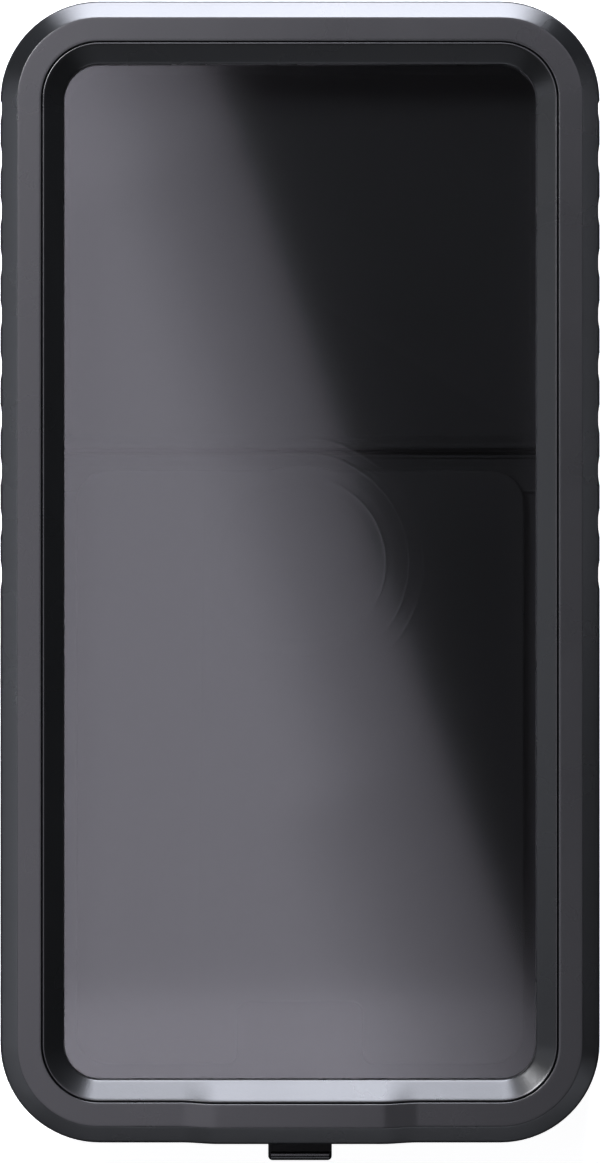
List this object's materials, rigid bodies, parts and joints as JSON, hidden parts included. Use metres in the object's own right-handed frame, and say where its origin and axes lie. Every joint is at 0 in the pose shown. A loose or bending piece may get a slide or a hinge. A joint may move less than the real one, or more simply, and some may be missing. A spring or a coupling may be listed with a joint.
{
  "type": "universal phone case",
  "caption": "Rugged weatherproof phone case with a framed clear window, a hinged camera flap in the back, a plugged charging opening with a pull tab, and a twist-lock socket.",
  "frame": {"origin": "middle of the bounding box in X and Y, on the flat back face in Z", "axes": "+Z out of the window, +Y towards the top of the case, +X to the right seen from the window"},
  "size_m": [0.094, 0.182, 0.0173],
  "materials": {
    "frame_plastic": "fine-grained moulded PC/ABS, near black",
    "shell_plastic": "fine-grained moulded PC/ABS, black",
    "socket_plastic": "glass-filled nylon, moulded",
    "clear_film": "clear glossy touch film",
    "silicone": "moulded silicone",
    "pad_rubber": "matt silicone pad",
    "cover_rubber": "smooth TPU",
    "steel": "stainless wire pin"
  },
  "bodies": {
    "rear": {"rear_shell": "shell_plastic", "mount_socket": "socket_plastic", "phone_pad": "pad_rubber", "flap_hinge_pin": "steel"},
    "front": {"front_frame": "frame_plastic", "window_bezel": "frame_plastic", "touch_film": "clear_film", "lid_seal": "silicone"},
    "flap": {"camera_flap": "shell_plastic", "flap_seal": "silicone"},
    "port": {"port_cover": "cover_rubber"}
  },
  "joints": [
    {"name": "lid_lift", "type": "slide", "parent": "rear", "child": "front", "axis": [0, 0, 1], "range_m": [0, 0.03]},
    {"name": "flap_hinge", "type": "hinge", "parent": "rear", "child": "flap", "pos_m": [0, 0.0173, 0.00125], "axis": [-1, 0, 0], "range_deg": [0, 90]},
    {"name": "port_hinge", "type": "hinge", "parent": "rear", "child": "port", "pos_m": [0, -0.0871, 0.0034], "axis": [1, 0, 0], "range_deg": [0, 90]}
  ]
}
